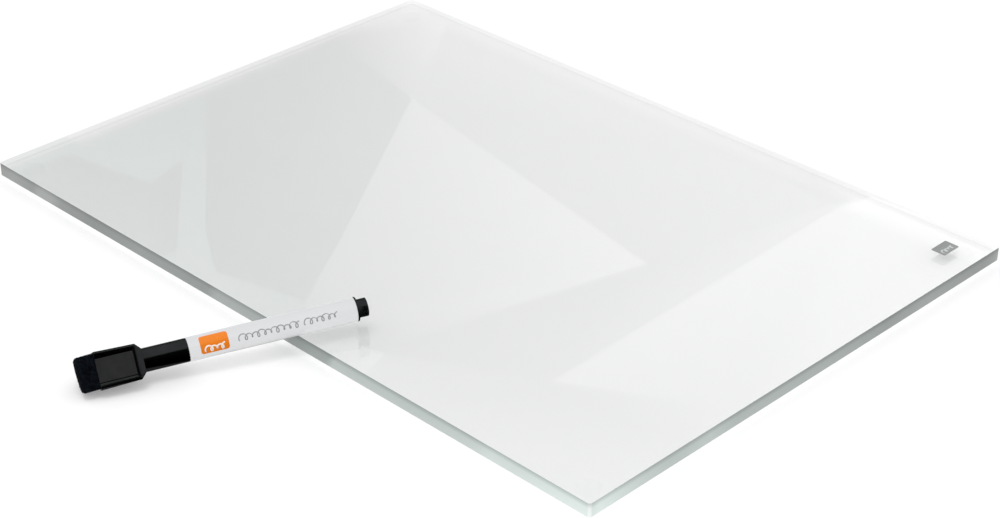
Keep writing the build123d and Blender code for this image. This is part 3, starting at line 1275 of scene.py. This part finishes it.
def makePrintBlock():
    # A flat block with rounded corners, made thick and bent onto the barrel.
    look = blockLook
    corner, half, columns, steps = look["corner"], look["half"], look["columns"], look["cornerSteps"]
    length = look["end"] - look["start"]
    stations = [corner * (1 - math.cos(math.pi / 2 * step / steps)) for step in range(steps + 1)]
    stations += [length - station for station in reversed(stations)]
    bm = bmesh.new()
    grid = []
    for station in stations:
        short = min(station, length - station, corner)
        reach = half - corner + math.sqrt(max(0.0, corner**2 - (corner - short) ** 2))
        across = [look["middle"] + reach * (2 * i / columns - 1) for i in range(columns + 1)]
        grid.append([bm.verts.new((0, y, look["start"] + station)) for y in across])
    for first, second in zip(grid, grid[1:]):
        for i in range(columns):
            bm.faces.new((first[i], first[i + 1], second[i + 1], second[i]))
    bmesh.ops.recalc_face_normals(bm, faces=bm.faces)
    slab = bmesh.ops.extrude_face_region(bm, geom=bm.faces[:])
    raised = [part for part in slab["geom"] if isinstance(part, bmesh.types.BMVert)]
    bmesh.ops.translate(bm, vec=(printLook["lift"] * 2, 0, 0), verts=raised)
    wrapped(bm, barrelLook["radius"] - printLook["lift"])
    orange = printMaterial("orangePrint", "orange")
    block = placed("printBlock", bm, "marker", [orange], markerPlace)


def strokeTree():
    # A looping pen line laid on the barrel: a straight line is rolled into loops, bent round the barrel and
    # given a flat section.
    look = strokeLook
    tree, given = startTree("printedStroke", {
        "Float": ("Start", "Length", "Middle", "Loop Height", "Loops", "Radius", "Width", "Depth"),
        "Material": ("Finish",),
    })
    maths = partial(calculate, tree)
    radius = given["Radius"]
    line = geometry(tree, "CurvePrimitiveLine", {"Start": (0, 0, 0), "End": (0, 0, 1)})
    dense = geometry(tree, "ResampleCurve", {"Curve": line, "Count": look["points"]})
    share = geometry(tree, "SplineParameter").outputs["Factor"]
    turns = maths("MULTIPLY", maths("MULTIPLY", share, given["Loops"]), math.tau)
    wave = maths("SINE", maths("MULTIPLY", turns, look["unevenRate"]))
    uneven = maths("ADD", 1.0, maths("MULTIPLY", wave, look["unevenShare"]))
    height = maths("MULTIPLY", given["Loop Height"], uneven)
    swing = maths("MULTIPLY", maths("COSINE", turns), height)
    around = maths("DIVIDE", maths("ADD", swing, given["Middle"]), radius)
    outX, outY = maths("COSINE", around), maths("SINE", around)
    x, y = maths("MULTIPLY", outX, radius), maths("MULTIPLY", outY, radius)
    along = maths("MULTIPLY_ADD", share, given["Length"], given["Start"])
    z = maths("SUBTRACT", along, maths("MULTIPLY", maths("SINE", turns), maths("MULTIPLY", height, look["lean"])))
    spot = add(tree, "ShaderNodeCombineXYZ", {0: x, 1: y, 2: z})
    laid = geometry(tree, "SetPosition", {"Geometry": dense, "Position": spot})
    outward = add(tree, "ShaderNodeCombineXYZ", {0: outX, 1: outY, 2: 0.0})
    upright = {"Curve": laid, "Normal": outward}
    facing = geometry(tree, "SetCurveNormal", upright, mode="FREE")
    section = {"Width": given["Depth"], "Height": given["Width"]}
    profile = geometry(tree, "CurvePrimitiveQuadrilateral", section)
    swept = {"Curve": facing, "Profile Curve": profile, "Fill Caps": True}
    ribbon = geometry(tree, "CurveToMesh", swept)
    endTree(tree, ribbon, [(True, given["Finish"])])
    return tree


def badgeMatrix():
    # Turns a pen line that runs along Z on a nearly flat barrel so that it lies along the badge's front edge.
    low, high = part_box("corner_badge")
    turn = Matrix(((0, 0, 1, 0), (0, -1, 0, 0), (1, 0, 0, 0), (0, 0, 0, 1)))
    return Matrix.Translation((low.x, low.y, high.z - penLines["badgeLine"]["Radius"])) @ turn


def makePenLines():
    tree = strokeTree()
    grey = printMaterial("greyPrint", "grey")
    white = printMaterial("whitePrint", "white")
    pale = printMaterial("palePrint", "pale")
    inks = {"greyLine": grey, "greyLineShort": grey, "whiteLine": white, "badgeLine": pale}
    for name, line in penLines.items():
        onBadge = name == "badgeLine"
        mesh = grownMesh(name, tree, {**line, "Depth": 2 * printLook["lift"], "Finish": inks[name]})
        matrix = badgeMatrix() if onBadge else markerPlace
        piece = placed(name, mesh, "board" if onBadge else "marker", (), matrix)


makeBarrel()
makePlug()
makePrintBlock()
makePenLines()
print("barrel, plug and print ready")
